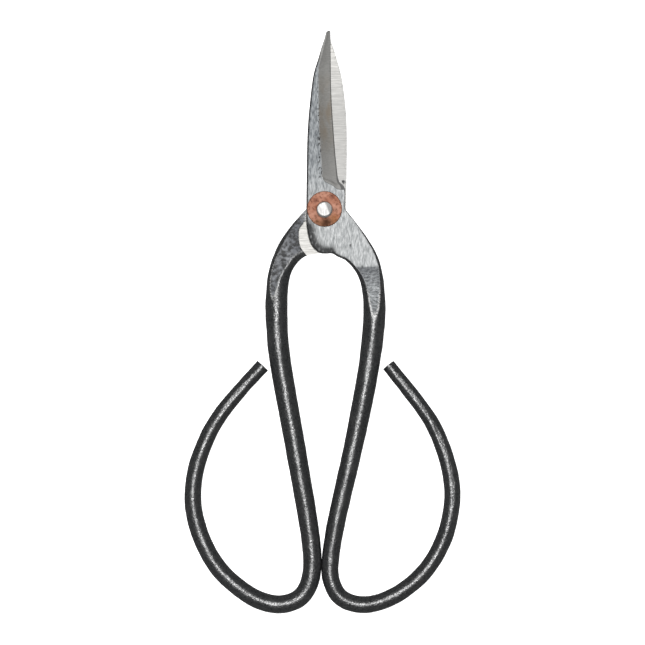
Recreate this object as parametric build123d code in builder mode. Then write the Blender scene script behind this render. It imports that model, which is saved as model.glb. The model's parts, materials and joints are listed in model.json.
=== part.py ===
"""Hand-forged floral snips: two identical crossed halves, each one forging with a blade, a flat
cheek, a full-thickness shoulder and a bent round-bar finger loop, riveted through copper washers.

Frame, in millimetres: +Z is the pivot axis, +Y runs to the blade tips, +X to the front half's
handle. The origin is the pivot axis at the flat end of the rear rivet head. The snips are closed.
"""
from build123d import *
import os

# Whole tool
blade_length = 61.2          # pivot to tip
handle_length = 139.0        # pivot to the lowest point of the finger loops
loop_half_width = 47.4       # closing line to the outside of a loop
closing_line_x = 0.6         # the closed halves mirror each other about this line
stop_gap = 0.10              # between the two handles where they stop the closing

# Flat part of each half
cheek_thickness = 2.6        # contact plane to outer face
inner_gap = 0.025            # contact plane to each ground inner face
spine_half_width = 6.9       # closing line to the spine
ricasso_half_width = 6.4     # closing line to the unsharpened edge beside the pivot
heel_drop = 15.1             # pivot to the lowest point of the cheek
plunge_height = 6.9          # pivot to the end of the bevel
thinning_height = 12.0       # pivot to where the blade starts to thin
tip_thickness = 1.1
edge_thickness = 0.3
step_gap = 0.3               # other half's cheek to this half's shoulder step
rim_radius = 0.9             # rounding of the cheek and shoulder rims

# Bar that becomes shank and finger loop
bar_diameter = 7.7
bar_end_diameter = 4.7
shank_offset = 17.0          # closing line to the centre of the bar where it is round
root_drop = 33.0             # pivot to where the bar is round
facet_drop = 19.5            # pivot to where the flat outer face starts to rise onto the bar
facet_end_drop = 38.0        # pivot to where it runs out
bar_stations = 44

# Pivot
rivet_diameter = 4.6
rivet_head_overhang = 0.4    # head beyond the shank, which holds the washers on
rivet_head_height = 0.8
rivet_head_edge = 0.25
washer_diameter = 12.0
washer_thickness = 1.0
washer_edge = 0.15
pivot_clearance = 0.05       # radial, rivet in the front half, which turns
seat_clearance = 0.02        # radial, rivet in the rear half and the washers
washer_clearance = 0.02      # axial, front washer to the front half

# Heights along the pivot axis
rear_face_z = rivet_head_height + washer_thickness
contact_z = rear_face_z + cheek_thickness
front_face_z = contact_z + cheek_thickness
front_washer_z = front_face_z + washer_clearance
front_head_z = front_washer_z + washer_thickness
top_z = front_head_z + rivet_head_height
beyond = 20.0                # how far the cutting solids reach past the metal

# Bar centreline, from shares of the named sizes: (across, along) from the closing stop outwards
# and from the root down. The first run is the shank, the second the finger loop.
bar_radius = bar_diameter / 2
bar_end_radius = bar_end_diameter / 2
touch_share = 0.46           # share of the bar's length at the closing stop
touch_radius = bar_radius + (bar_end_radius - bar_radius) * touch_share
touch_offset = touch_radius + stop_gap / 2
loop_reach = loop_half_width - (bar_radius + bar_end_radius) / 2
bend_drop = handle_length - touch_radius
shank_run = ((1.0, 0.0), (0.82, 0.25), (0.43, 0.50), (0.10, 0.75), (0.0, 0.87))
loop_run = (
    (0.04, 0.95), (0.28, 1.0), (0.49, 0.97), (0.72, 0.90), (0.92, 0.78),
    (1.0, 0.63), (0.91, 0.48), (0.70, 0.32), (0.44, 0.20),
)
root_across = 0.74           # where the bar starts inside the shoulder
root_along = 0.50
root_half_width = 0.75 * bar_radius

# Outlines of the flat part: (across, along) as shares of the named widths and lengths
spine_run = ((1.0, 0.23), (0.94, 0.52), (0.75, 0.72), (0.46, 0.85), (0.26, 0.92), (0.02, 1.0))
tip_direction = (0.5, 0.87)
edge_run = (
    (1.0, 0.095), (0.89, 0.137), (0.66, 0.162), (0.55, 0.22), (0.41, 0.36), (0.16, 0.74),
    (0.09, 0.99),
)
# Bevel at its low and high ends: shares of the blade's length, and of the ricasso's half width
# for the top line and for the edge
bevel_ends = ((0.08, -0.17, 0.75), (1.0, -0.62, 0.05))
heel_run = ((-1.0, 0.33), (-0.90, 0.63), (-0.61, 0.88), (-0.09, 1.0), (0.29, 0.99))
inner_run = ((0.46, 0.10), (0.67, 0.28), (0.83, 0.52), (1.0, 1.0))
outer_run = ((1.0, 1.0), (0.96, 0.62), (0.86, 0.48), (0.52, 0.24), (0.0, 0.0))
plunge_run = ((-0.20, 0.75), (0.02, 0.45), (0.42, 0.15), (0.52, 0.0))
# Step line: (distance outside the other half's cheek, share of the heel's drop)
step_run = (
    (0.4, 0.965), (1.2, 0.86), (2.2, 0.60), (1.2, 0.365), (0.2, 0.29), (0.5, 0.24), (1.4, 0.20),
    (3.8, 0.16),
)


def handle_point(across, along, reach):
    """A point of the bar's centreline: across from the closing stop to reach, along downwards."""
    span = bend_drop - root_drop
    return (touch_offset + (reach - touch_offset) * across, -root_drop - span * along)


def cheek_outline():
    """Closed outline of the cheek and shoulder, drawn in the current BuildLine."""
    inner_end = shank_offset - root_half_width
    outer_end = shank_offset + root_half_width
    heel = [(spine_half_width * across, -heel_drop * along) for across, along in heel_run]
    inner = [
        (inner_end * across, -heel_drop - (root_drop - heel_drop) * along)
        for across, along in inner_run
    ]
    outer = [
        (ricasso_half_width + (outer_end - ricasso_half_width) * across, -root_drop * along)
        for across, along in outer_run
    ]
    plunge_rise = thinning_height - plunge_height
    plunge = [
        (ricasso_half_width * across, plunge_height + plunge_rise * along)
        for across, along in plunge_run
    ]
    lower = Spline(*heel, *inner, tangents=((0, -1), (0, -1)))
    Line(lower @ 1, outer[0])
    upper = Spline(*outer)
    Polyline(upper @ 1, (ricasso_half_width, plunge_height), plunge[-1])
    Spline(*plunge)
    Polyline(
        plunge[0], (plunge[0][0], thinning_height), (-spine_half_width, thinning_height), heel[0]
    )


def forged_half(side):
    """One half. side is +1 for the front half, with its handle at +X, and -1 for the rear half,
    the same forging turned over about the closing line."""
    flat = Plane(origin=(closing_line_x, 0, contact_z), x_dir=(side, 0, 0), z_dir=(0, 0, side))
    profile = Plane(origin=flat.origin, x_dir=(0, 1, 0), z_dir=(side, 0, 0))

    # Cheek and shoulder, at full thickness, with rounded rims
    with BuildPart() as cheek:
        with BuildSketch(flat.offset(-cheek_thickness)):
            with BuildLine():
                cheek_outline()
            make_face()
        extrude(amount=2 * cheek_thickness)
        flats = cheek.faces().filter_by(Axis.Z)
        rims = flats.edges().filter_by(GeomType.BSPLINE).filter_by_position(Axis.Y, -root_drop, 0)
        fillet(rims, rim_radius)

    with BuildPart() as half:
        # Blade
        with BuildSketch(flat.offset(inner_gap)):
            with BuildLine():
                spine = Spline(
                    *[(-spine_half_width * across, blade_length * along) for across, along in spine_run],
                    tangents=((0, 1), tip_direction),
                )
                edge = Spline(
                    *[(ricasso_half_width * across, blade_length * along) for across, along in edge_run]
                )
                Line(spine @ 1, edge @ 1)
                Polyline(edge @ 0, (ricasso_half_width, 0), (-spine_half_width, 0), spine @ 0)
            make_face()
        extrude(amount=cheek_thickness - inner_gap)

        # Thinning towards the tip
        with BuildSketch(profile):
            Polygon(
                (thinning_height, cheek_thickness), (blade_length, tip_thickness),
                (blade_length + beyond, tip_thickness), (blade_length + beyond, beyond),
                (thinning_height, beyond),
                align=None,
            )
        extrude(amount=beyond, both=True, mode=Mode.SUBTRACT)

        # Bevel, from its top line down to the edge
        for (along, top_across, edge_across), face_height in zip(
            bevel_ends, (cheek_thickness, tip_thickness)
        ):
            top_u = ricasso_half_width * top_across
            edge_u = ricasso_half_width * edge_across
            section = Plane(
                origin=flat.from_local_coords((0, blade_length * along, 0)),
                x_dir=flat.x_dir,
                z_dir=(0, -1, 0),
            )
            with BuildSketch(section):
                Polygon(
                    (top_u, face_height), (edge_u, edge_thickness), (edge_u + beyond, edge_thickness),
                    (edge_u + beyond, beyond), (top_u, beyond),
                    align=None,
                )
        loft(ruled=True, mode=Mode.SUBTRACT)

        # Tapered bar along its centreline
        with BuildLine(flat) as centreline:
            Spline(
                (shank_offset * root_across, -root_drop * root_along),
                *[handle_point(across, along, shank_offset) for across, along in shank_run],
                *[handle_point(across, along, loop_reach) for across, along in loop_run],
            )
        for station in range(bar_stations + 1):
            share = station / bar_stations
            section = Plane(
                origin=centreline.line @ share, x_dir=(0, 0, 1), z_dir=centreline.line % share
            )
            with BuildSketch(section):
                Circle(bar_radius + (bar_end_radius - bar_radius) * share)
        loft()

        # Forged facets, front and back, where the flat face runs out onto the bar
        for face in (1, -1):
            with BuildSketch(profile):
                Polygon(
                    (beyond, face * cheek_thickness), (-facet_drop, face * cheek_thickness),
                    (-facet_end_drop, face * bar_radius), (-facet_end_drop, face * beyond),
                    (beyond, face * beyond),
                    align=None,
                )
            extrude(amount=2 * beyond, both=True, mode=Mode.SUBTRACT)
        add(cheek.part)

        # Step around the other half's cheek, which swings through the space it leaves
        with BuildSketch(flat.offset(-beyond)):
            with BuildLine():
                step = Spline(
                    *[
                        (spine_half_width + step_gap + across, -heel_drop * along)
                        for across, along in step_run
                    ]
                )
                Polyline(
                    step @ 0, (0, -root_drop), (-beyond, -root_drop), (-beyond, beyond),
                    (2 * beyond, beyond), (2 * beyond, (step @ 1).Y), step @ 1,
                )
            make_face()
        extrude(amount=beyond + inner_gap, mode=Mode.SUBTRACT)

        # Rivet hole
        with BuildSketch(Plane.XY):
            Circle(rivet_diameter / 2 + (pivot_clearance if side > 0 else seat_clearance))
        extrude(amount=top_z, mode=Mode.SUBTRACT)
    return half


def washer(bottom_z):
    """Copper washer with its underside at bottom_z."""
    with BuildPart() as ring:
        with BuildSketch(Plane.XY.offset(bottom_z)):
            Circle(washer_diameter / 2)
            Circle(rivet_diameter / 2 + seat_clearance, mode=Mode.SUBTRACT)
        extrude(amount=washer_thickness)
        outer_rims = ring.edges().filter_by(GeomType.CIRCLE).group_by(SortBy.RADIUS)[-1]
        fillet(outer_rims, washer_edge)
    return ring


front_half = forged_half(1)
rear_half = forged_half(-1)
front_washer = washer(front_washer_z)
rear_washer = washer(rivet_head_height)

with BuildPart() as pivot_rivet:
    with BuildSketch(Plane.XY):
        Circle(rivet_diameter / 2)
    extrude(amount=top_z)
    for head_z in (0, front_head_z):
        with BuildSketch(Plane.XY.offset(head_z)):
            Circle(rivet_diameter / 2 + rivet_head_overhang)
        extrude(amount=rivet_head_height)
    end_rims = pivot_rivet.edges().filter_by(GeomType.CIRCLE).group_by(Axis.Z)
    chamfer(end_rims[0] + end_rims[-1], rivet_head_edge)

os.makedirs("parts", exist_ok=True)
pieces = {
    "front_half": front_half,
    "rear_half": rear_half,
    "pivot_rivet": pivot_rivet,
    "front_washer": front_washer,
    "rear_washer": rear_washer,
}
for name, piece in pieces.items():
    piece.part.label = name
    export_step(piece.part, f"parts/{name}.step")
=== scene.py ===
"""Floral snips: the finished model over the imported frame.

Each forging is one lofted mesh. Its sections are rows that run from the tip down the blade, fan
round the heel, cross the shoulder and follow the bar to its cut end. A row goes from the left
outline (spine, heel, inner side) to the right one (edge, ricasso, outer side) over the outer face
and back over the inner face. Shapes are drawn in millimetres in a half's own directions: across
from the closing line towards its handle, up the tool from the pivot, and out from the contact plane.
"""

import json
import math

import bmesh
import bpy
import numpy as np
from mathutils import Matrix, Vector, noise


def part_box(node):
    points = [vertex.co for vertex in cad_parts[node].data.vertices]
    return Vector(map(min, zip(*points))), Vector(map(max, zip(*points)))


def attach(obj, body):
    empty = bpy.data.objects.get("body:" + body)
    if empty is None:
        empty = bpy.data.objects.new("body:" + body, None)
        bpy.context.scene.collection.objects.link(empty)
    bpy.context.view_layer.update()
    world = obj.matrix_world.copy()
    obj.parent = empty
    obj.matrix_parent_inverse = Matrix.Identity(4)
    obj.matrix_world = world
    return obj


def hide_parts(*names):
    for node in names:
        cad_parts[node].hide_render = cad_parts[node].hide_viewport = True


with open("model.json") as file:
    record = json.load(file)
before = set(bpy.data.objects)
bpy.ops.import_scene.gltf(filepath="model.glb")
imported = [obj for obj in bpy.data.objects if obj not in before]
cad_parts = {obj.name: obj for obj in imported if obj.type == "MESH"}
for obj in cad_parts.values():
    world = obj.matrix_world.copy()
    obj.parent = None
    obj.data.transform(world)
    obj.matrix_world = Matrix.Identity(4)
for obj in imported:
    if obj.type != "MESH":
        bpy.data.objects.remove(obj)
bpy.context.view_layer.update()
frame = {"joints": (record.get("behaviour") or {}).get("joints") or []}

# ---------------------------------------------------------------- frame sizes, in millimetres
MM = 0.001
front_low, front_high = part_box("front_half")
rear_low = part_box("rear_half")[0]
rivet_low, rivet_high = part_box("pivot_rivet")
PIVOT = Vector(frame["joints"][0]["pos_m"]) / MM
CONTACT = (front_low.z + front_high.z) / 2 / MM
CLOSING = (front_high.x + rear_low.x) / 2 / MM
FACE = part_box("front_washer")[0].z / MM - CONTACT - 0.02
TIP = front_high.y / MM
BOTTOM = front_low.y / MM
INNER = 0.03                 # gap from the contact plane to a half's flat inner face

COLUMNS = 40                 # steps across a face
RIM_COLUMNS = 8              # of them, in each rounded rim
BEVEL_COLUMN = 18            # column of the bevel's top line
EDGE_COLUMN = 38             # column where the bevel ends and the edge's small flat begins
EDGE_SHARE = 0.996           # share of a blade row at that column
BLADE_RIM = 0.8              # width of the blade's rounded spine
SPINE_WALL = 0.35            # upright part of the spine below its rounding
EDGE_HEIGHT = 0.13
BEVEL_SLOPE = 0.36           # steepest rise of the bevel near the tip
TIP_HEIGHT = 1.1
THINNING = 12.0              # height up the tool where the blade starts to thin
FACET_START = -19.5          # the stretch up the tool where the flat face runs out onto the bar
FACET_END = -38.0
FACET_HEIGHT = 3.95          # height of the facet at its lower end
RIM_POWER = 2.1              # roundness of the rims of cheek and shoulder
BAR_STEP = 0.55              # length between two rows of the bar
BORE_RADIUS = 2.35
SKIN = ((0.10, 5.0), (0.05, 2.3), (0.012, 0.9))   # the forged skin's bumps: height and size


# ---------------------------------------------------------------- curves
def smooth(x, low, high):
    """0 below low, 1 above high, with an S between."""
    t = np.clip((np.asarray(x, float) - low) / (high - low), 0, 1)
    return t * t * (3 - 2 * t)


def curve(points, samples=400):
    """Dense points on the natural cubic through the given ones."""
    p = np.array(points, float)
    knots = np.concatenate([[0], np.cumsum(np.linalg.norm(np.diff(p, axis=0), axis=1))])
    n = len(p)
    h = np.diff(knots)
    a = np.eye(n)
    b = np.zeros_like(p)
    for i in range(1, n - 1):
        a[i, i - 1 : i + 2] = h[i - 1], 2 * (h[i - 1] + h[i]), h[i]
        b[i] = 6 * ((p[i + 1] - p[i]) / h[i] - (p[i] - p[i - 1]) / h[i - 1])
    m = np.linalg.solve(a, b)
    t = np.linspace(0, knots[-1], samples)
    i = np.clip(np.searchsorted(knots, t, side="right") - 1, 0, n - 2)
    d = (t - knots[i])[:, None]
    w = h[i][:, None]
    slope = (p[i + 1] - p[i]) / w - w * (2 * m[i] + m[i + 1]) / 6
    return p[i] + slope * d + m[i] / 2 * d**2 + (m[i + 1] - m[i]) / (6 * w) * d**3


def lengths(line):
    """Length along a polyline at each of its points."""
    return np.concatenate([[0], np.cumsum(np.linalg.norm(np.diff(line, axis=0), axis=1))])


def at(line, where):
    """Points of a polyline at the given lengths."""
    s = lengths(line)
    return np.stack([np.interp(where, s, line[:, k]) for k in (0, 1)], -1)


def locate(line, point):
    """Length along a polyline at its point nearest to the given one."""
    return lengths(line)[np.argmin(np.linalg.norm(line - np.array(point), axis=1))]


# ---------------------------------------------------------------- outlines of the two halves
# Points are (across, up), but (up, across) in BEVEL_TOP. A half's radii are (share of the bar's
# length, radius). Its flats, left by the hammer, are (middle, reach, depth), with the middle and the
# reach as shares of the bar's length.
EDGE = [
    (0.83, 52.8), (1.0, 45.5), (1.34, 37.6), (1.95, 29.7), (2.6, 22.1), (3.15, 16.5),
    (3.6, 12.8), (4.1, 10.3), (4.5, 9.45), (5.4, 8.75), (6.0, 8.0), (6.35, 7.2), (6.4, 6.9),
]
RICASSO = [(6.4, 6.9), (6.45, 5.0), (6.45, 3.0), (6.45, 0.3)]
HEEL = [(-6.85, -5.0), (-6.2, -9.0), (-4.6, -13.0), (-2.6, -14.7), (0.0, -15.15), (2.2, -15.1)]
BEVEL_TOP = [(10.7, -1.36), (17.0, -1.9), (28.3, -2.75), (40.6, -3.15), (49.7, -3.4), (62.0, -3.7)]
PLUNGE = [(-1.36, 10.7), (-0.9, 9.8), (0.0, 9.2), (1.5, 8.5), (2.8, 7.6), (3.7, 7.0), (5.4, 6.8)]
STEP = [(7.3, -15.0), (8.6, -13.2), (9.35, -9.4), (8.9, -6.2), (7.8, -4.6), (7.9, -3.8), (9.0, -3.2)]

FRONT = dict(
    side=1,
    edge_top=(0.62, 61.45),
    spine=[
        (0.0, 61.6), (-0.62, 61.25), (-1.06, 60.2), (-1.38, 58.9), (-2.3, 56.0), (-3.4, 52.0),
        (-4.6, 48.0), (-5.8, 40.0), (-6.5, 32.0), (-6.85, 24.0), (-6.9, 14.0), (-6.9, 3.0),
        (-6.88, -3.0),
    ],
    inner=[(3.9, -16.0), (6.2, -17.0), (8.5, -18.9), (10.3, -21.1), (11.8, -24.2), (12.8, -28.5)],
    outer=[
        (6.45, 0.3), (10.0, -4.0), (13.1, -8.0), (15.8, -12.0), (17.9, -16.0), (19.25, -20.0),
        (20.2, -25.0),
    ],
    centreline=[
        (17.0, -34.0), (16.9, -39.0), (16.2, -47.0), (14.4, -60.0), (12.0, -73.0), (9.2, -87.0),
        (6.8, -98.0), (4.4, -110.0), (3.06, -119.5), (3.25, -127.0), (6.5, -133.1), (13.8, -135.65),
        (21.5, -134.2), (29.0, -130.0), (36.0, -123.3), (41.6, -113.5), (44.3, -103.0),
        (44.45, -94.5), (42.1, -84.0), (37.35, -73.0), (31.3, -64.5), (22.1, -53.2),
    ],
    radii=[
        (0.0, 3.86), (0.1, 3.62), (0.25, 3.27), (0.42, 2.99), (0.55, 2.88), (0.65, 2.84),
        (0.78, 2.82), (0.9, 2.5), (1.0, 2.34),
    ],
    flats=[(0.78, 0.03, 0.07), (0.856, 0.025, 0.13), (0.94, 0.035, 0.08)],
    seed=3.0,
)
REAR = dict(
    side=-1,
    edge_top=(0.55, 60.2),
    spine=[
        (0.3, 60.3), (-0.4, 59.7), (-0.8, 58.4), (-1.6, 56.0), (-2.9, 52.0), (-4.1, 48.0),
        (-5.6, 40.0), (-6.45, 32.0), (-6.8, 24.0), (-6.85, 14.0), (-6.85, 3.0), (-6.85, -3.0),
    ],
    inner=[(4.4, -15.5), (6.6, -16.0), (8.7, -17.4), (10.9, -20.2), (12.3, -24.0), (12.8, -28.5)],
    outer=[
        (6.45, 0.6), (10.6, -4.0), (13.7, -8.0), (16.2, -12.0), (18.0, -16.0), (19.25, -20.0),
        (20.1, -25.0),
    ],
    centreline=[
        (16.7, -34.0), (16.5, -39.0), (15.85, -47.0), (13.8, -60.0), (11.25, -73.0), (8.6, -87.0),
        (6.5, -98.0), (4.4, -110.0), (3.27, -119.5), (3.75, -127.0), (7.1, -133.3), (13.9, -135.95),
        (21.0, -134.7), (28.8, -130.1), (35.3, -124.0), (41.2, -114.0), (44.2, -104.0),
        (44.35, -94.0), (41.75, -83.5), (37.1, -73.5), (30.95, -65.1), (21.2, -54.0),
    ],
    radii=[
        (0.0, 3.86), (0.08, 3.68), (0.2, 3.55), (0.3, 3.38), (0.42, 3.2), (0.5, 3.14),
        (0.62, 3.02), (0.75, 2.94), (0.9, 2.6), (0.97, 2.42), (1.0, 2.5),
    ],
    flats=[(0.93, 0.03, 0.08)],
    seed=11.0,
)


# ---------------------------------------------------------------- where the columns of a row lie
def blade_columns(a, b):
    """Shares of a blade row between two outline points: rounded spine, flat, bevel, edge."""
    width = np.linalg.norm(b - a)
    rim = min(BLADE_RIM, width * 0.2) / width
    bevel_at = np.interp((a[1] + b[1]) / 2, *zip(*BEVEL_TOP))
    bevel_at = max((bevel_at - a[0]) / width, rim * 1.2)
    turn = np.linspace(0, math.pi / 2, RIM_COLUMNS + 1)
    return np.concatenate([
        rim * (1 - np.cos(turn)),
        np.linspace(rim, bevel_at, BEVEL_COLUMN - RIM_COLUMNS + 1)[1:],
        np.linspace(bevel_at, EDGE_SHARE, EDGE_COLUMN - BEVEL_COLUMN + 1)[1:],
        np.linspace(EDGE_SHARE, 1, COLUMNS - EDGE_COLUMN + 1)[1:],
    ])


def flat_columns(width, rim_width):
    """Shares of a row with two rounded rims and a flat between."""
    rim = rim_width / width
    turn = np.linspace(0, math.pi / 2, RIM_COLUMNS + 1)
    left = rim * (1 - np.cos(turn))
    return np.concatenate([
        left, np.linspace(rim, 1 - rim, COLUMNS - 2 * RIM_COLUMNS + 1)[1:-1], 1 - left[::-1]
    ])


def round_columns():
    """Shares of a row round half the bar."""
    return (1 - np.cos(np.linspace(0, math.pi, COLUMNS + 1))) / 2


def chord_shape(points, low, high):
    """A row's points as shares along its chord and offsets from it."""
    chord = high - low
    size = np.dot(chord, chord)
    rel = points - low
    along = rel @ chord / size
    off = (rel @ np.array([-chord[1], chord[0]])) / size
    return along, off


def superellipse(depth, rim, power):
    """Share of a rounded rim's height at a distance in from the outline. rim is its width."""
    x = 1 - np.clip(depth / rim, 0, 1)
    return (1 - x**power) ** (1 / power)


def soft_min(a, b, blend):
    """The lower of two heights, with a worn edge where they cross."""
    h = np.clip(0.5 + 0.5 * (b - a) / blend, 0, 1)
    return b * (1 - h) + a * h - blend * h * (1 - h)


# ---------------------------------------------------------------- one forging
# Rounded rims of the rows that follow each key row, each at the start and the end of the stretch:
# width on the left, width on the right, height, height of the upright wall below the rounding.
RIMS = {
    "plunge foot": ((0.75, 0.75), (0.25, 0.25), (2.6, 2.6), (0.6, 0.6)),
    "ricasso": ((0.75, 0.8), (0.25, 0.28), (2.6, 2.6), (0.6, 0.6)),
    "corner": ((0.8, 1.0), (0.28, 0.4), (2.6, 2.75), (0.6, 0.3)),
    "step": ((1.0, 1.0), (0.4, 0.4), (2.75, 2.75), (0.3, 0.28)),
    "step foot": ((1.0, 2.6), (0.4, 2.2), (2.75, 3.2), (0.28, 0.0)),
    "shoulder": ((2.6, 3.84), (2.2, 3.84), (3.2, 3.84), (0.0, 0.0)),
}
# The same on the contact side below the step, where there is no upright wall.
BACK_RIMS = {
    "step foot": ((3.2, 4.8), (2.2, 2.4), (2.75, 2.95)),
    "shoulder": ((4.8, 3.84), (2.4, 3.84), (2.95, 3.84)),
}
# The last rows, which close the bar's cut end: share of its radius, distance past its end.
CUT_END = ((0.93, 0.10), (0.84, 0.12), (0.5, 0.13), (0.12, 0.13))


class Loft:
    """Rows of points over the outer face and back over the inner one, with masks for the finish:
    ground     bright steel, where the forge scale is ground off
    bevel      the ground bevel beside the edge
    inner      the flat contact face
    patina     dark stains and pits on bright steel, and painted shade beside the ricasso's edge
    wear       bright lines along worn edges
    facet      the flat that runs out onto the bar, and its match on the contact side
    seam       painted shade: dark lines beside the edge and along the plunge wall, and the shadow under the step
    """

    MASKS = ("ground", "bevel", "inner", "patina_and_shade", "wear", "facet", "painted_shade")

    def __init__(self):
        self.rows = []
        self.masks = {name: [] for name in self.MASKS}

    def add(self, outer, outer_masks, inner, inner_masks):
        """outer and inner are (across, up, out) for each column. Masks left out are 0."""
        self.rows.append(np.concatenate([outer, inner[::-1]]))
        for name in self.MASKS:
            top = np.broadcast_to(np.asarray(outer_masks.get(name, 0.0), float), len(outer))
            under = np.broadcast_to(np.asarray(inner_masks.get(name, 0.0), float), len(inner))
            self.masks[name].append(np.concatenate([top, under[::-1]]))


def facet_height(up):
    """Height of the plane where the flat face runs out onto the bar."""
    down = np.clip((FACET_START - up) / (FACET_START - FACET_END), 0, 1.4)
    return FACE + (FACET_HEIGHT - FACE) * down


def back_facet_height(up, offset):
    """The same on the contact side, where the plane also dips towards the outer side. offset is the
    distance from the middle of the bar, positive towards the inner side."""
    return FACE + 0.108 * np.clip(-20 - up, 0, 30) + 0.21 * smooth(-up, 18, 28) * offset


def plunge_row(a, b):
    """Across the flat, then along the curved line where the bevel ends."""
    line = curve(PLUNGE + [tuple(b)])
    start = line[0]
    rim = 0.7 / np.linalg.norm(start - a)
    turn = np.linspace(0, math.pi / 2, RIM_COLUMNS + 1)
    shares = np.concatenate([
        rim * (1 - np.cos(turn)),
        np.linspace(rim, 1, BEVEL_COLUMN - RIM_COLUMNS + 1)[1:],
    ])
    spine_side = a + (start - a) * shares[:, None]
    steps = np.linspace(0, lengths(line)[-1], COLUMNS - BEVEL_COLUMN + 1)[1:]
    return chord_shape(np.concatenate([spine_side, at(line, steps)]), a, b)


def step_row(a, b):
    """Along the step on the contact side."""
    line = curve([tuple(a)] + STEP + [tuple(b)])
    shares = flat_columns(lengths(line)[-1], 0.9)
    return chord_shape(at(line, lengths(line)[-1] * shares), a, b)


def blade_row(a, b):
    """Straight across the blade."""
    return blade_columns(a, b), np.zeros(COLUMNS + 1)


def key_rows(left, right):
    """Rows that the others are blended from: (name, length on each outline, rows to the next,
    column shares and offsets on the outer and on the inner face)."""
    keys = []

    def key(name, low, high, count, outer, inner=None):
        """outer and inner are column shares, or a function that shapes the row; inner may be left
        out where it is the same."""
        low, high = locate(left, low), locate(right, high)
        a, b = at(left, low), at(right, high)
        flat = np.zeros(COLUMNS + 1)
        outer = outer(a, b) if callable(outer) else (outer, flat)
        keys.append((name, low, high, count, outer, inner(a, b) if inner else outer))

    # Where a row is nearly straight, its columns are those of a row with about its width.
    edge_cheek = flat_columns(13.5, 0.9)
    key("tip", left[0], right[0], 14, blade_row)
    key("point", (-2.2, 56.0), (0.75, 56.0), 20, blade_row)
    key("blade", (-4.3, 49.5), (0.9, 49.5), 84, blade_row)
    key("plunge top", (-6.9, 12.4), (3.6, 12.4), 12, blade_row)
    key("plunge", (-6.9, 11.2), (6.4, 6.9), 1, plunge_row)
    key("plunge foot", (-6.9, 10.9), (6.4, 6.75), 18, plunge_row)
    key("ricasso", (-6.9, 3.0), (6.45, 3.0), 14, flat_columns(13.3, 0.8))
    key("corner", (-6.88, -2.0), (6.45, 0.3), 62, flat_columns(13.4, 0.8))
    key("step", (6.4, -16.0), (10.4, -4.0), 1, edge_cheek, step_row)
    key("step foot", (6.5, -16.1), (10.5, -4.15), 26, edge_cheek, step_row)
    key("shoulder", (10.7, -20.8), (19.2, -20.0), 44, flat_columns(9.0, 1.6))
    key("bar", left[-1], right[-1], 0, round_columns())
    return keys


def bar_line(half):
    """The bar's centreline, its sideways direction into the finger loop, and its radius."""
    centre = curve(half["centreline"], 1200)
    along = lengths(centre)
    tangent = np.gradient(centre, along, axis=0)
    tangent /= np.linalg.norm(tangent, axis=1)[:, None]
    normal = np.stack([-tangent[:, 1], tangent[:, 0]], -1)
    return centre, normal, np.interp(along / along[-1], *zip(*half["radii"]))


def outlines(half, bar_left, bar_right):
    """The left and the right outline, from the tip to the start of the bar."""
    left = curve(half["spine"] + HEEL + half["inner"] + [tuple(bar_left)], 3000)
    edge = curve([half["edge_top"]] + EDGE, 800)
    ricasso = curve(RICASSO, 100)
    outer = curve(half["outer"] + [tuple(bar_right)], 900)
    return left, np.concatenate([edge, ricasso[1:], outer[1:]])


def blended(name, a, b, first, second, f):
    """Column shares and points of the row from a to b, f of the way between two key rows."""
    ease = f * f * (3 - 2 * f)
    t = first[0] + (second[0] - first[0]) * f
    n = first[1] + (second[1] - first[1]) * ease
    if name in ("tip", "point", "blade"):
        t = blade_columns(a, b)
    chord = b - a
    side = np.array([-chord[1], chord[0]])
    return t, a + t[:, None] * chord + n[:, None] * side


def half_rows(half):
    """The rows of one forging, with its masks."""
    centre, normal, radius = bar_line(half)
    half_width = normal[0] * radius[0]
    left, right = outlines(half, centre[0] - half_width, centre[0] + half_width)
    keys = key_rows(left, right)
    loft = Loft()
    for this, after in zip(keys, keys[1:]):
        name, low, high, count, outer, inner = this
        _, low_next, high_next, _, outer_next, inner_next = after
        for f in (k / count for k in range(count)):
            a = at(left, [low + (low_next - low) * f])[0]
            b = at(right, [high + (high_next - high) * f])[0]
            width = np.linalg.norm(b - a)
            t, top = blended(name, a, b, outer, outer_next, f)
            _, under = blended(name, a, b, inner, inner_next, f)
            if name in RIMS:
                add_cheek_row(loft, name, f, top, under, width, t)
            else:
                add_blade_row(loft, name, top, under, width, t)
    add_bar(loft, centre, normal, radius, half)
    return loft


def blade_height(up):
    """Height of the blade's flat, which thins towards the tip and rounds over at it."""
    thinned = np.clip((up - THINNING) / (TIP - THINNING), 0, 1)
    return (FACE + (TIP_HEIGHT - FACE) * thinned) * smooth(TIP - up, -0.3, 2.5) ** 0.35


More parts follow.
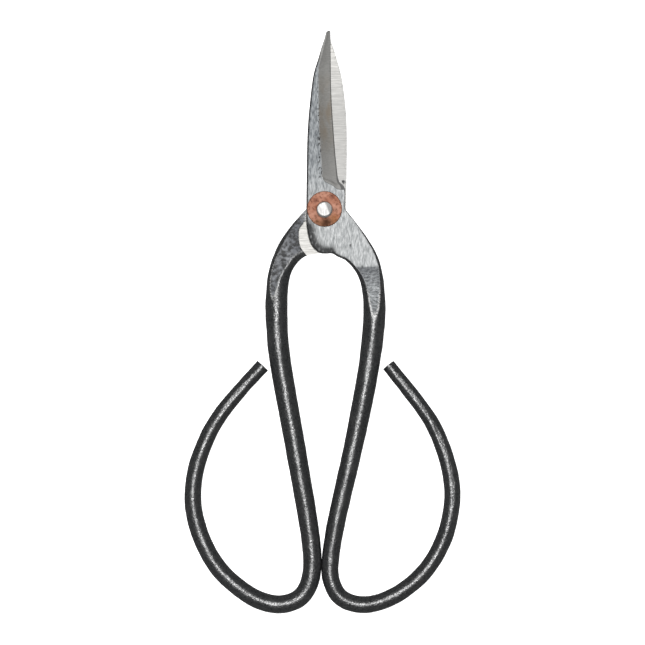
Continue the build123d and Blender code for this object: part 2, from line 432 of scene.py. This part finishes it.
def add_blade_row(loft, name, top, under, width, t):
    """One row of the blade: rounded spine, flat, hollow bevel and edge, and the inner face."""
    columns = np.arange(COLUMNS + 1)
    up = top[:, 1]
    depth = t * width
    face = blade_height(up)
    rim = superellipse(depth, min(BLADE_RIM, width * 0.2), 2.2)
    spine = INNER + SPINE_WALL + rim * (face - INNER - SPINE_WALL)
    spine = np.maximum(spine, INNER + 0.2)
    steepest = EDGE_HEIGHT + BEVEL_SLOPE * np.linalg.norm(top[-1] - top[BEVEL_COLUMN])
    steepest = steepest + 3 * smooth(-up, -52, -45)
    face = np.minimum(face, steepest)
    spine = np.minimum(spine, face)
    down = np.clip((columns - BEVEL_COLUMN) / (EDGE_COLUMN - BEVEL_COLUMN), 0, 1)
    hollow = 0.10 * np.sin(math.pi * down) * np.minimum(face / 2, 1)
    bevel = face + (EDGE_HEIGHT - face) * down - hollow
    height = np.where(columns > BEVEL_COLUMN, bevel, spine)

    on_bevel = smooth(columns, BEVEL_COLUMN - 0.6, BEVEL_COLUMN + 0.6)
    pits = np.exp(-(((columns - BEVEL_COLUMN) / 3.2) ** 2)) * (columns <= BEVEL_COLUMN)
    # Painted shade: a dark line beside the cutting edge, and the plunge wall painted dark as if in
    # shadow.
    edge_shadow = 0.75 * smooth(columns, EDGE_COLUMN - 2.2, EDGE_COLUMN - 0.8)
    plunge_shadow = 0.8 * (columns > BEVEL_COLUMN + 1)
    outer_masks = {
        "ground": np.maximum(smooth(depth, 0.3, 0.7), smooth(up, 49, 52)),
        "bevel": np.maximum(on_bevel, smooth(up, 49.5, 51.5)),
        "patina_and_shade": 1.3 * pits * smooth(-up, -50, -38),
        "painted_shade": plunge_shadow if name == "plunge" else edge_shadow,
    }
    inner_masks = {"ground": 1, "inner": 1, "patina_and_shade": 0.25 * np.exp(-((depth / 0.7) ** 2))}
    inner_face = np.full(COLUMNS + 1, INNER)
    loft.add(np.c_[top, height], outer_masks, np.c_[under, inner_face], inner_masks)


def rounded(left, right, rim_left, rim_right):
    """0 at both outlines and 1 between the rims, at distances left and right from them."""
    return np.minimum(
        superellipse(left, rim_left, RIM_POWER), superellipse(right, rim_right, RIM_POWER)
    )


def add_cheek_row(loft, name, f, top, under, width, t):
    """One row of the cheek or the shoulder, with the facet that runs out onto the bar."""
    up = top[:, 1]
    left, right = t * width, (1 - t) * width
    rim_left, rim_right, rise, wall = (np.interp(f, (0, 1), pair) for pair in RIMS[name])
    full = wall + rounded(left, right, rim_left, rim_right) * (rise - wall)
    plane = facet_height(up)
    if name in BACK_RIMS:
        height = soft_min(full, plane, 0.16)
        on_flat = smooth(full - plane, 0.0, 0.2)
        inner_face, inner_masks = shoulder_back(name, f, under, width)
    else:
        height = np.minimum(full, FACE)
        on_flat = np.minimum(smooth(left, 0.25, 0.7), smooth(right, 0.0, 0.35))
        inner_face, inner_masks = contact_face(under)

    facet = smooth(FACET_START - up, -0.25, 0.35)
    crossing = np.exp(-(((full - plane) / 0.08) ** 2)) * facet
    heel_reach = 2.2 - 1.6 * smooth(top[0, 0], 0.5, 3.5)
    heel_stain = 2.4 * np.exp(-((left / heel_reach) ** 2)) * smooth(-up, 2.0, 8.0)
    # Painted shade: the flat darkens towards the ricasso's edge.
    ricasso_shade = 0.3 * np.exp(-((right / 1.1) ** 2)) * smooth(up, -2.0, 0.0)
    outer_masks = {
        "ground": on_flat,
        "patina_and_shade": np.clip(np.maximum(heel_stain, ricasso_shade), 0, 1),
        "facet": facet * on_flat,
        "wear": crossing * smooth(-up, 25, 29),
    }
    loft.add(np.c_[top, height], outer_masks, np.c_[under, inner_face], inner_masks)


def contact_face(under):
    """Heights and masks of a cheek row's flat inner face, with painted shade in the corner above the
    step, where the washer and the front cheek shade it.
    """
    # Painted shade: in that corner the face is shown as grey scale instead of bright steel.
    bright = 1 - 0.72 * smooth(under[:, 0], 6.7, 7.2) * smooth(under[:, 1], -4.9, -4.1)
    masks = {"ground": bright, "facet": 1 - bright, "inner": 1}
    return np.full(COLUMNS + 1, INNER), masks


def shoulder_back(name, f, under, width):
    """Heights and masks of a shoulder row's contact side, which is cut back by a tilted facet."""
    up = under[:, 1]
    shares = np.linalg.norm(under - under[0], axis=1) / np.linalg.norm(under[-1] - under[0])
    left = np.minimum(shares * width, width)
    right = np.minimum(np.linalg.norm(under - under[-1], axis=1), width)
    rim_left, rim_right, rise = (np.interp(f, (0, 1), pair) for pair in BACK_RIMS[name])
    full = rounded(left, right, rim_left, rim_right) * rise
    plane = back_facet_height(up, (right - left) / 2)
    on_facet = smooth(full - plane, -0.02, 0.12)
    crossing = np.exp(-(((full - plane) / 0.06) ** 2))
    crossing *= np.where(right < left, 0.9 * smooth(-up, 12, 22), 0.55)
    masks = {
        "ground": 0.22 * on_facet,
        "facet": on_facet,
        "wear": crossing * smooth(up, -32.0, -29.5),
        # Painted shadow under the step, darkest at its foot.
        "painted_shade": 0.95 * (1 - smooth(f, 0.12, 0.60)) if name == "step foot" else 0.0,
    }
    return -soft_min(full, plane, 0.08), masks


def add_bar(loft, centre, normal, radius, half):
    """The bent bar, a little uneven from the hammer, with a flat cut end."""
    seed = half["seed"]
    length = lengths(centre)
    angles = np.linspace(math.pi, 0, COLUMNS + 1)
    rows = int(length[-1] / BAR_STEP)
    for k in range(rows + 1):
        s = length[-1] * k / rows
        c = np.array([np.interp(s, length, centre[:, i]) for i in (0, 1)])
        n = np.array([np.interp(s, length, normal[:, i]) for i in (0, 1)])
        uneven = smooth(s, 1, 12)
        r = np.interp(s, length, radius)
        r *= 1 + 0.012 * uneven * noise.noise(Vector((s / 9, seed, 0)))
        flat = 0.018 * uneven * noise.noise(Vector((s / 14, seed, 5)))
        lobes = 1 + flat * np.cos(4 * angles) + 0.5 * flat * np.cos(3 * angles + seed)
        across = r * np.cos(angles) * lobes
        height = r * np.sin(angles) * lobes
        top = c + across[:, None] * n
        plane = facet_height(top[:, 1])
        front = soft_min(height, plane, 0.16)
        back = height
        for middle, reach, depth in half["flats"]:
            level = r - depth * math.exp(-(((s / length[-1] - middle) / reach) ** 2))
            if level < r - 0.02:
                front = soft_min(front, level + 0.12 * across, 0.08)
                back = soft_min(back, level + 0.12 * across, 0.08)
        cut = smooth(height - plane, 0.0, 0.12)
        line = np.exp(-(((height - plane) / 0.09) ** 2)) * smooth(-s, -10, -4)
        masks = {"ground": cut, "facet": cut, "wear": line}
        loft.add(np.c_[top, front], masks, np.c_[top, -back], {})

    onwards = np.array([normal[-1][1], -normal[-1][0]])
    bare = {"ground": 0.25}
    for share, out in CUT_END:
        r = radius[-1] * share
        top = centre[-1] + onwards * out + (r * np.cos(angles))[:, None] * normal[-1]
        height = r * np.sin(angles)
        loft.add(np.c_[top, height], bare, np.c_[top, -height], bare)


def build_half(name, half, material):
    """Mesh object of one forging."""
    loft = half_rows(half)
    rows = np.array(loft.rows)
    count, ring = rows.shape[:2]
    points = rows.reshape(-1, 3)
    side = half["side"]
    placed = np.stack([
        CLOSING + side * points[:, 0], points[:, 1], CONTACT + side * points[:, 2]
    ], -1) * MM
    index = np.arange(count * ring).reshape(count, ring)
    a, b = index[:-1], index[1:]
    quads = np.stack([a, np.roll(a, -1, 1), np.roll(b, -1, 1), b], -1).reshape(-1, 4)
    caps = [index[0][::-1].tolist(), index[-1].tolist()]
    faces = quads.tolist() + caps
    mesh = bpy.data.meshes.new(name)
    mesh.from_pydata(placed.tolist(), [], faces)
    for mask in Loft.MASKS:
        layer = mesh.attributes.new(mask, "FLOAT", "POINT")
        layer.data.foreach_set("value", np.concatenate(loft.masks[mask]))
    obj = bpy.data.objects.new(name, mesh)
    bpy.context.scene.collection.objects.link(obj)
    return finish_half(obj, half, material)


def finish_half(obj, half, material):
    """Turns the mesh outwards, gives it its forged skin and bores it for the rivet."""
    bm = bmesh.new()
    bm.from_mesh(obj.data)
    bmesh.ops.remove_doubles(bm, verts=bm.verts, dist=2e-6)
    bmesh.ops.recalc_face_normals(bm, faces=bm.faces)
    bm.normal_update()
    ground = bm.verts.layers.float["ground"]
    inner = bm.verts.layers.float["inner"]
    offset = Vector((half["seed"], 0, 0))
    # The contact face stays flat. Elsewhere the bumps are slight on ground steel, and they grow
    # from the pivot down to the bars.
    for v in bm.verts:
        if v[inner] > 0.01:
            continue
        smoother = 1 - 0.85 * v[ground]
        p = v.co / MM
        bumps = sum(depth * noise.noise(p / size + offset) for depth, size in SKIN)
        bumps *= min(max(0.12, (-2 - p.y) / 14), 1)
        v.co += v.normal * bumps * smoother * MM
    bm.to_mesh(obj.data)
    bm.free()

    cutter = lathe("bore", [(BORE_RADIUS, -9), (BORE_RADIUS, 18)], 64, capped=True)
    cut = obj.modifiers.new("bore", "BOOLEAN")
    cut.operation = "DIFFERENCE"
    cut.solver = "EXACT"
    cut.object = cutter
    evaluated = obj.evaluated_get(bpy.context.evaluated_depsgraph_get())
    bored = bpy.data.meshes.new_from_object(evaluated)
    obj.modifiers.clear()
    obj.data = bored
    bpy.data.objects.remove(cutter)
    bored.shade_smooth()
    bored.set_sharp_from_angle(angle=math.radians(38))
    bored.materials.clear()
    bored.materials.append(material)
    return obj


# ---------------------------------------------------------------- turned pieces
def lathe(name, profile, steps, capped=False, shape=None):
    """A solid of revolution about the pivot. profile is (radius, height) in millimetres; shape moves
    its points."""
    turn = np.linspace(0, 2 * math.pi, steps, endpoint=False)
    profile = np.array(profile, float)
    rings = []
    for r, h in profile:
        rings.append(np.stack([r * np.cos(turn), r * np.sin(turn), np.full(steps, h)], -1))
    points = np.concatenate(rings)
    if shape:
        points = shape(points)
    points[:, 0] += PIVOT.x
    points[:, 1] += PIVOT.y
    index = np.arange(len(points)).reshape(len(profile), steps)
    pairs = [(index[i], index[i + 1]) for i in range(len(profile) - 1)]
    if not capped:
        pairs.append((index[-1], index[0]))
    faces = []
    for a, b in pairs:
        faces += np.stack([a, np.roll(a, -1), np.roll(b, -1), b], -1).tolist()
    if capped:
        faces += [index[0][::-1].tolist(), index[-1].tolist()]
    mesh = bpy.data.meshes.new(name)
    mesh.from_pydata((points * MM).tolist(), [], faces)
    mesh.update()
    obj = bpy.data.objects.new(name, mesh)
    bpy.context.scene.collection.objects.link(obj)
    return obj


def washer(name, node, up, seed, material):
    """A dented copper washer. up is +1 when its worn face looks to +Z."""
    low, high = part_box(node)
    outer = (high.x - low.x) / 2 / MM
    inner = BORE_RADIUS - 0.02
    seat = (low.z if up > 0 else high.z) / MM
    thick = (high.z - low.z) / MM
    corner = [
        (outer - 0.32 * (1 - math.sin(a)), thick - 0.3 * (1 - math.cos(a)))
        for a in np.linspace(0, math.pi / 2, 7)
    ]
    face = [(r, thick - 0.01) for r in np.linspace(inner + 0.35, outer - 0.4, 26)]
    lip = [(inner, thick - 0.35), (inner + 0.06, thick - 0.15), (inner + 0.17, thick - 0.05)]
    profile = [(inner, 0.0)] + lip + face + corner + [(outer - 0.02, 0.12), (outer - 0.12, 0.0)]
    stretch, shift = 1.02, 0.13      # up the tool

    def dents(p):
        """Dents the worn face, and sets the washer a little up the tool from the rivet."""
        q = p.copy()
        for i, (x, y, z) in enumerate(p):
            worn = max(0.0, z / thick)
            big = noise.noise(Vector((x / 2.4, y / 2.4, seed)))
            small = noise.noise(Vector((x / 0.8, y / 0.8, seed + 4)))
            q[i, 2] = z - worn * (0.045 * (0.6 + big) + 0.016 * (1 + small))
            q[i, :2] *= 1 + 0.004 * noise.noise(Vector((x / 5, y / 5, seed + 9)))
        q[:, 1] = q[:, 1] * stretch + shift
        q[:, 2] = seat + up * q[:, 2]
        return q

    obj = lathe(name, profile, 144, shape=dents)
    turn_outwards(obj, math.radians(50))
    obj.data.materials.append(material)
    return obj


def rivet(name, material):
    """The rivet, peened over both washers and filed flat, with a file facet on each end."""
    low, high = rivet_low.z / MM, rivet_high.z / MM
    middle, half_height = (high + low) / 2, (high - low) / 2
    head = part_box("rear_washer")[0].z / MM - low
    reach = (rivet_high.x - rivet_low.x) / 2 / MM
    shank = BORE_RADIUS - 0.06
    half_profile = [
        (shank, high - head - 0.3), (shank, high - head), (reach - 0.05, high - head + 0.02),
        (reach, high - head + 0.12), (reach - 0.02, high - 0.42), (reach - 0.10, high - 0.24),
        (reach - 0.24, high - 0.10), (reach - 0.40, high - 0.03), (reach - 0.55, high),
    ]
    top = half_profile + [(r, high) for r in np.linspace(reach - 0.75, 0.15, 10)]
    bottom = [(r, 2 * middle - z) for r, z in top[::-1]]

    def filed(p):
        """Spreads the heads' shoulders unevenly, shifts the heads, and files both ends."""
        q = p.copy()
        radial = np.maximum(np.hypot(p[:, 0], p[:, 1]), 1e-6)
        inset = np.clip(reach - radial, 0, 0.55) * (np.abs(p[:, 2] - middle) > half_height - 0.45)
        spread = 0.3 + 0.9 * smooth(-p[:, 1] / radial, -0.2, 1.0)
        moved = (radial + inset * (1 - spread)) / radial
        moved = 1 + (moved - 1) * smooth(radial, reach - 1.3, reach - 0.6)
        q[:, :2] *= moved[:, None]
        for sign in (1, -1):
            # Each head sits a little down the tool from the shank. Its file facet is on the right,
            # and a crescent is filed off all round the rim, most at the lower side.
            out = sign * (p[:, 2] - middle)
            neck = half_height - head
            q[:, 1] -= 0.18 * smooth(out, neck, neck + 0.1)
            facet = np.maximum(0.924 * q[:, 0] + 0.383 * q[:, 1] - 1.08, 0)
            crescent = np.maximum(np.hypot(q[:, 0], q[:, 1] - 0.22) - 2.45, 0)
            drop = 0.36 * facet + 0.9 * crescent
            lowered = sign * (middle + sign * (half_height - drop) - p[:, 2])
            on_end = smooth(out, half_height - 0.7, half_height - 0.1) > 0.3
            q[:, 2] += sign * np.minimum(lowered, 0) * on_end
        ripples = 0.006 * np.sin(5 * p[:, 0]) * (np.abs(p[:, 2] - middle) > 3.9)
        q[:, 2] += ripples * np.sign(middle - p[:, 2])
        return q

    obj = lathe(name, bottom + top, 96, capped=True, shape=filed)
    turn_outwards(obj, math.radians(40))
    obj.data.materials.append(material)
    return obj


def turn_outwards(obj, sharp):
    """Faces outwards and shades smooth, apart from sharp edges."""
    bm = bmesh.new()
    bm.from_mesh(obj.data)
    bmesh.ops.recalc_face_normals(bm, faces=bm.faces)
    bm.to_mesh(obj.data)
    bm.free()
    obj.data.shade_smooth()
    obj.data.set_sharp_from_angle(angle=sharp)


# ---------------------------------------------------------------- materials
class Nodes:
    """A short way to write a material's nodes."""

    def __init__(self, name):
        self.material = bpy.data.materials.new(name)
        self.material.use_nodes = True
        self.tree = self.material.node_tree
        self.shader = self.tree.nodes["Principled BSDF"]
        self.place = self.tree.nodes.new("ShaderNodeTexCoord").outputs["Object"]

    def link(self, value, socket):
        """Feeds a number, a colour or another node's output into a socket."""
        if isinstance(value, (int, float)):
            socket.default_value = value
        elif isinstance(value, tuple):
            socket.default_value = (*value, 1.0)[: len(socket.default_value)]
        else:
            self.tree.links.new(value, socket)

    def mask(self, name):
        """One of the masks stored on the mesh."""
        node = self.tree.nodes.new("ShaderNodeAttribute")
        node.attribute_name = name
        return node.outputs["Fac"]

    def math(self, kind, a, b=0.0):
        node = self.tree.nodes.new("ShaderNodeMath")
        node.operation = kind
        node.use_clamp = kind != "SUBTRACT"
        self.link(a, node.inputs[0])
        self.link(b, node.inputs[1])
        return node.outputs[0]

    def noise(self, size, stretch=(1, 1, 1), detail=3.0, rough=0.55):
        """Noise whose features are about size millimetres, drawn out by stretch."""
        scale = self.tree.nodes.new("ShaderNodeMapping")
        scale.inputs["Scale"].default_value = [1 / (size * MM * s) for s in stretch]
        self.tree.links.new(self.place, scale.inputs["Vector"])
        node = self.tree.nodes.new("ShaderNodeTexNoise")
        node.inputs["Scale"].default_value = 1.0
        node.inputs["Detail"].default_value = detail
        node.inputs["Roughness"].default_value = rough
        self.tree.links.new(scale.outputs[0], node.inputs["Vector"])
        return node.outputs["Fac"]

    def along(self, axis):
        """A coordinate in metres."""
        node = self.tree.nodes.new("ShaderNodeSeparateXYZ")
        self.tree.links.new(self.place, node.inputs[0])
        return node.outputs[axis]

    def up(self, low, high, to_low=0.0, to_high=1.0):
        """A change up the tool, between two heights in millimetres."""
        return self.levels(self.along("Y"), low * MM, high * MM, to_low, to_high)

    def distance(self, x, y):
        """Distance in metres from an upright line through (x, y), given in millimetres."""
        across = self.math("SUBTRACT", self.along("X"), x * MM)
        up = self.math("SUBTRACT", self.along("Y"), y * MM)
        squares = [self.math("MULTIPLY", side, side) for side in (across, up)]
        return self.math("SQRT", self.math("ADD", *squares))

    def spot(self, x, y, radius, soft, strength):
        """A small mark, with a ragged rim."""
        ragged = self.levels(self.noise(0.6, detail=2.0), 0.3, 0.7, -0.3 * MM, 0.3 * MM)
        far = self.math("SUBTRACT", self.distance(x, y), ragged)
        return self.levels(far, (radius - soft) * MM, radius * MM, strength, 0.0)

    def levels(self, value, low, high, to_low=0.0, to_high=1.0):
        """A value between two limits, spread over another range and held inside it."""
        node = self.tree.nodes.new("ShaderNodeMapRange")
        self.link(value, node.inputs["Value"])
        limits = {"From Min": low, "From Max": high, "To Min": to_low, "To Max": to_high}
        for key, number in limits.items():
            node.inputs[key].default_value = number
        return node.outputs[0]

    def mix(self, share, a, b):
        """Colours or numbers, whichever a is."""
        node = self.tree.nodes.new("ShaderNodeMix")
        kind = "RGBA" if isinstance(a, tuple) or getattr(a, "type", "") == "RGBA" else "FLOAT"
        node.data_type = kind
        chosen = [s for s in node.inputs if s.enabled]
        self.link(share, chosen[0])
        self.link(a, chosen[1])
        self.link(b, chosen[2])
        return [s for s in node.outputs if s.enabled][0]

    def bump(self, height, depth):
        """Gives the surface a fine relief, depth millimetres high."""
        node = self.tree.nodes.new("ShaderNodeBump")
        node.inputs["Distance"].default_value = depth * MM
        node.inputs["Strength"].default_value = 1.0
        self.link(height, node.inputs["Height"])
        self.tree.links.new(node.outputs[0], self.shader.inputs["Normal"])


def scale_colours(n, grain, patches, facet):
    """Black forge scale, with lighter patches on the facets of the contact side."""
    mottle = n.noise(3.2, detail=4.0)
    colour = n.mix(n.levels(grain, 0.35, 0.7), (0.010, 0.011, 0.012), (0.036, 0.038, 0.039))
    colour = n.mix(n.levels(mottle, 0.5, 0.75, 0.0, 0.5), colour, (0.046, 0.045, 0.044))
    lighter = n.math("MULTIPLY", facet, n.levels(patches, 0.44, 0.60, 0.0, 0.95))
    return n.mix(lighter, colour, (0.165, 0.175, 0.195))


def steel_colours(n, streak, facet):
    """Ground steel of the cheek, blued on the blade's flat and hatched on the facet."""
    cheek = n.mix(n.levels(streak, 0.34, 0.66), (0.35, 0.365, 0.37), (0.66, 0.67, 0.67))
    blued = n.mix(n.levels(streak, 0.36, 0.64), (0.19, 0.205, 0.22), (0.46, 0.48, 0.49))
    colour = n.mix(n.up(3, 15), cheek, blued)
    hatch = n.noise(0.8, (2.0, 0.8, 1), detail=4.0, rough=0.8)
    hatched = n.mix(n.levels(hatch, 0.38, 0.62), (0.07, 0.075, 0.08), (0.55, 0.57, 0.58))
    hatched = n.mix(n.up(-27, -20, 0.0, 0.65), hatched, (0.085, 0.09, 0.10))
    hatched = n.mix(n.up(-31, -35, 0.0, 0.8), hatched, (0.10, 0.105, 0.11))
    return n.mix(n.math("MULTIPLY", facet, 0.92), colour, hatched)


def stains_and_painted_shade(n, patina_and_shade, painted_shade):
    """Where bright steel is dark: stains, pits beside the bevel and two small spots, and painted
    shade beside the edge, along the plunge wall, under the step and in a small notch at the rear
    blade's back near the plunge.
    """
    pits = n.levels(n.noise(0.7, (1, 1.6, 1), detail=2.0), 0.54, 0.62)
    ragged = n.levels(n.noise(0.7, (1, 2.6, 1), detail=4.0), 0.30, 0.50, 0.50, 1.0)
    dark = n.math("MULTIPLY", patina_and_shade, ragged)
    dark = n.math("MULTIPLY", dark, n.mix(n.up(-2, 4), 1.0, pits))
    dark = n.math("MAXIMUM", dark, painted_shade)
    dark = n.math("MAXIMUM", dark, n.spot(9.1, -12.3, 0.55, 0.4, 0.8))
    dark = n.math("MAXIMUM", dark, n.spot(13.2, -19.4, 0.45, 0.4, 0.7))
    # This last spot is a painted shadow of a small notch at the rear blade's back.
    return n.math("MAXIMUM", dark, n.spot(6.4, 9.6, 0.75, 0.45, 1.0))


def bevel_colours(n, lines):
    """The bevel: brown in the middle of the blade, bright at the plunge and darker at the tip."""
    colour = n.mix(n.levels(lines, 0.35, 0.65), (0.355, 0.355, 0.34), (0.46, 0.455, 0.44))
    cloud = n.levels(n.noise(5.0, (0.6, 1.4, 1), detail=2.0), 0.40, 0.62, 0.1, 0.8)
    brown = n.math("MULTIPLY", n.math("MULTIPLY", n.up(18, 28), n.up(48, 36)), cloud)
    colour = n.mix(brown, colour, (0.37, 0.32, 0.26))
    colour = n.mix(n.up(24, 14, 0.0, 0.35), colour, (0.66, 0.65, 0.63))
    return n.mix(n.up(44, 50, 0.0, 0.3), colour, (0.29, 0.29, 0.28))


def inner_colours(n, lines):
    """The flat contact face, with painted shade along the middle of the blade, beside the front
    half.
    """
    colour = n.mix(n.levels(lines, 0.38, 0.62), (0.52, 0.512, 0.493), (0.73, 0.72, 0.695))
    # Painted shade: the middle of the blade's contact face is darkened.
    front_blade_shade = n.math("MULTIPLY", n.up(0.0, 8), n.up(56, 34))
    return n.mix(n.math("MULTIPLY", front_blade_shade, 0.5), colour, (0.36, 0.36, 0.355))


def forged_steel():
    """Black forge scale, with the cheek and blade ground back to bright steel."""
    n = Nodes("forged_steel")
    ground, bevel, inner, patina_and_shade, wear, facet, painted_shade = (n.mask(name) for name in Loft.MASKS)
    grain = n.noise(0.54, detail=1.5, rough=0.6)
    patches = n.noise(1.5, detail=5.0, rough=0.65)
    fine = n.noise(0.42, (1, 4.5, 1), detail=2.5, rough=0.6)
    broad = n.noise(1.4, (1, 2.2, 1), detail=4.0, rough=0.6)
    streak = n.mix(0.3, fine, broad)
    lines = n.noise(0.40, (14, 1, 1), detail=3.0, rough=0.6)

    dark = stains_and_painted_shade(n, patina_and_shade, painted_shade)
    colour = n.mix(bevel, steel_colours(n, streak, facet), bevel_colours(n, lines))
    colour = n.mix(inner, colour, inner_colours(n, lines))
    # Stains and pits darken the steel, and so does the painted shade.
    colour = n.mix(dark, colour, (0.016, 0.017, 0.018))
    rim = n.levels(grain, 0.3, 0.7, -0.2, 0.2)
    broken = n.levels(n.math("ADD", ground, rim), 0.35, 0.65)
    colour = n.mix(broken, scale_colours(n, grain, patches, facet), colour)
    worn = n.math("MULTIPLY", wear, n.levels(grain, 0.42, 0.52))
    colour = n.mix(worn, colour, (0.80, 0.80, 0.79))
    clear_of_stain_and_shade = n.math("MULTIPLY", broken, n.levels(dark, 0.0, 1.0, 1.0, 0.2))
    bare = n.math("MAXIMUM", clear_of_stain_and_shade, worn)

    finish = n.mix(bevel, n.levels(streak, 0.36, 0.64, 0.74, 0.67), 0.70)
    finish = n.mix(inner, finish, 0.66)
    skin = n.levels(grain, 0.3, 0.7, 0.27, 0.40)
    skin = n.mix(facet, skin, n.levels(patches, 0.38, 0.66, 0.76, 0.46))
    skin = n.mix(painted_shade, skin, 0.75)
    finish = n.mix(n.math("MAXIMUM", broken, worn), skin, finish)
    rough_skin = n.math("MULTIPLY", n.levels(bare, 0.0, 1.0, 1.0, 0.0), grain)
    brushed = n.math("MULTIPLY", n.mix(inner, streak, lines), n.levels(bare, 0.0, 1.0, 0.0, 0.25))

    n.link(colour, n.shader.inputs["Base Color"])
    n.link(n.math("MULTIPLY", bare, 0.95), n.shader.inputs["Metallic"])
    n.link(finish, n.shader.inputs["Roughness"])
    n.shader.inputs["IOR"].default_value = 1.75
    n.bump(n.math("ADD", rough_skin, brushed), 0.11)
    return n.material


def copper():
    """Tarnished copper, darker and browner in patches and at the lower side, and darker in a ring
    round the rivet: partly tarnish, partly painted shade of the gap round its head.
    """
    n = Nodes("copper")
    cloud = n.noise(3.0, detail=4.0)
    spots = n.noise(1.1, detail=4.0, rough=0.6)
    colour = n.mix(n.levels(cloud, 0.35, 0.65), (0.38, 0.165, 0.105), (0.50, 0.27, 0.195))
    colour = n.mix(n.levels(spots, 0.52, 0.68, 0.0, 0.85), colour, (0.17, 0.062, 0.036))
    # A darker ring round the rivet: partly tarnish, partly painted shade of the gap round its head.
    rivet_ring_tarnish_and_shade = n.levels(n.distance(0.0, -0.2), 2.6 * MM, 3.3 * MM, 0.7, 0.0)
    colour = n.mix(rivet_ring_tarnish_and_shade, colour, (0.10, 0.045, 0.03))
    stain = n.math("MULTIPLY", n.up(-2.2, -4.6), n.levels(n.noise(1.8, detail=3.0), 0.30, 0.48))
    colour = n.mix(n.math("MULTIPLY", stain, 0.6), colour, (0.17, 0.085, 0.035))
    colour = n.mix(n.spot(3.2, -3.0, 2.2, 1.8, 0.6), colour, (0.36, 0.155, 0.06))
    colour = n.mix(n.spot(0.8, -4.6, 2.3, 1.6, 0.85), colour, (0.055, 0.022, 0.011))
    colour = n.mix(n.spot(2.6, 4.6, 1.3, 1.1, 0.6), colour, (0.14, 0.045, 0.03))
    colour = n.mix(n.spot(-3.0, 3.0, 1.2, 1.0, 0.5), colour, (0.14, 0.05, 0.035))
    n.link(colour, n.shader.inputs["Base Color"])
    n.shader.inputs["Metallic"].default_value = 0.9
    n.link(n.levels(spots, 0.3, 0.7, 0.64, 0.72), n.shader.inputs["Roughness"])
    n.bump(spots, 0.08)
    return n.material


def bright_rivet():
    """Filed steel."""
    n = Nodes("bright_rivet")
    file_marks = n.noise(0.3, (1, 8, 1), detail=3.0)
    colour = n.mix(n.levels(file_marks, 0.35, 0.65), (0.53, 0.52, 0.51), (0.67, 0.66, 0.64))
    n.link(colour, n.shader.inputs["Base Color"])
    n.shader.inputs["Metallic"].default_value = 1.0
    n.link(n.levels(file_marks, 0.3, 0.7, 0.64, 0.58), n.shader.inputs["Roughness"])
    n.bump(file_marks, 0.03)
    return n.material


# ---------------------------------------------------------------- the object
steel = forged_steel()
copper_finish = copper()

front_piece = build_half("front_forging", FRONT, steel)
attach(front_piece, "front_side")
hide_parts("front_half")

rear_piece = build_half("rear_forging", REAR, steel)
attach(rear_piece, "rear_side")
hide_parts("rear_half")

front_ring = washer("front_copper_washer", "front_washer", 1, 2.0, copper_finish)
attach(front_ring, "rear_side")
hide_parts("front_washer")

rear_ring = washer("rear_copper_washer", "rear_washer", -1, 6.5, copper_finish)
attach(rear_ring, "rear_side")
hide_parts("rear_washer")

rivet_piece = rivet("peened_rivet", bright_rivet())
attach(rivet_piece, "rear_side")
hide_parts("pivot_rivet")


# ---------------------------------------------------------------- stage, light and camera
def stage_floor():
    """A pale floor, tipped a little so that the rivet head and the finger loops both rest on it."""
    mesh = bpy.data.meshes.new("floor")
    loop_rest = CONTACT - 3.2        # height of the loops' underside at their lower ends
    slope = loop_rest / (BOTTOM + 3.0)
    below = 0.03                     # gap that keeps the floor clear of the tool
    reach = 1500.0
    corners = [
        (x * MM, y * MM, (slope * y - below) * MM)
        for x, y in ((-reach, -reach), (reach, -reach), (reach, reach), (-reach, reach))
    ]
    mesh.from_pydata(corners, [], [(0, 1, 2, 3)])
    floor = bpy.data.objects.new("floor", mesh)
    bpy.context.scene.collection.objects.link(floor)
    material = bpy.data.materials.new("pale_floor")
    material.use_nodes = True
    shader = material.node_tree.nodes["Principled BSDF"]
    shader.inputs["Base Color"].default_value = (0.9, 0.9, 0.9, 1)
    shader.inputs["Roughness"].default_value = 0.9
    shader.inputs["Specular IOR Level"].default_value = 0.1
    shader.inputs["Emission Color"].default_value = (1, 1, 1, 1)
    shader.inputs["Emission Strength"].default_value = 1.0
    mesh.materials.append(material)
    floor.visible_glossy = False


def soft_light(name, place, size, power):
    """A round soft light that looks at the middle of the snips."""
    data = bpy.data.lights.new(name, "AREA")
    data.shape = "DISK"
    data.size = size
    data.energy = power
    light = bpy.data.objects.new(name, data)
    light.location = place
    aim = Vector(place) - Vector((0, (TIP + BOTTOM) / 2 * MM, 0))
    light.rotation_euler = aim.to_track_quat("Z", "Y").to_euler()
    bpy.context.scene.collection.objects.link(light)


def camera():
    """Straight down from a distance, framed with the tool upright and leaning slightly right."""
    distance = 1.3
    tool_share = 0.9016      # the tool's length, as a share of the square frame's side
    lean = 0.75              # degrees
    sensor = 36
    frame_width = (TIP - BOTTOM) / tool_share * MM
    data = bpy.data.cameras.new("camera")
    data.sensor_width = sensor
    data.lens = sensor * distance / frame_width
    data.clip_start = 0.05
    cam = bpy.data.objects.new("camera", data)
    middle = Vector((CLOSING - 0.78, (TIP + BOTTOM) / 2 - 0.03, 0)) * MM
    cam.location = (middle.x, middle.y, CONTACT * MM + distance)
    cam.rotation_euler = (0, 0, math.radians(lean))
    bpy.context.scene.collection.objects.link(cam)
    bpy.context.scene.camera = cam


stage_floor()
soft_light("key", (-0.05, 0.0, 1.4), 0.16, 15.0)
camera()

world = bpy.data.worlds.new("studio")
world.use_nodes = True
world.node_tree.nodes["Background"].inputs["Color"].default_value = (1, 1, 1, 1)
world.node_tree.nodes["Background"].inputs["Strength"].default_value = 0.14
bpy.context.scene.world = world
bpy.context.scene.view_settings.view_transform = "Standard"
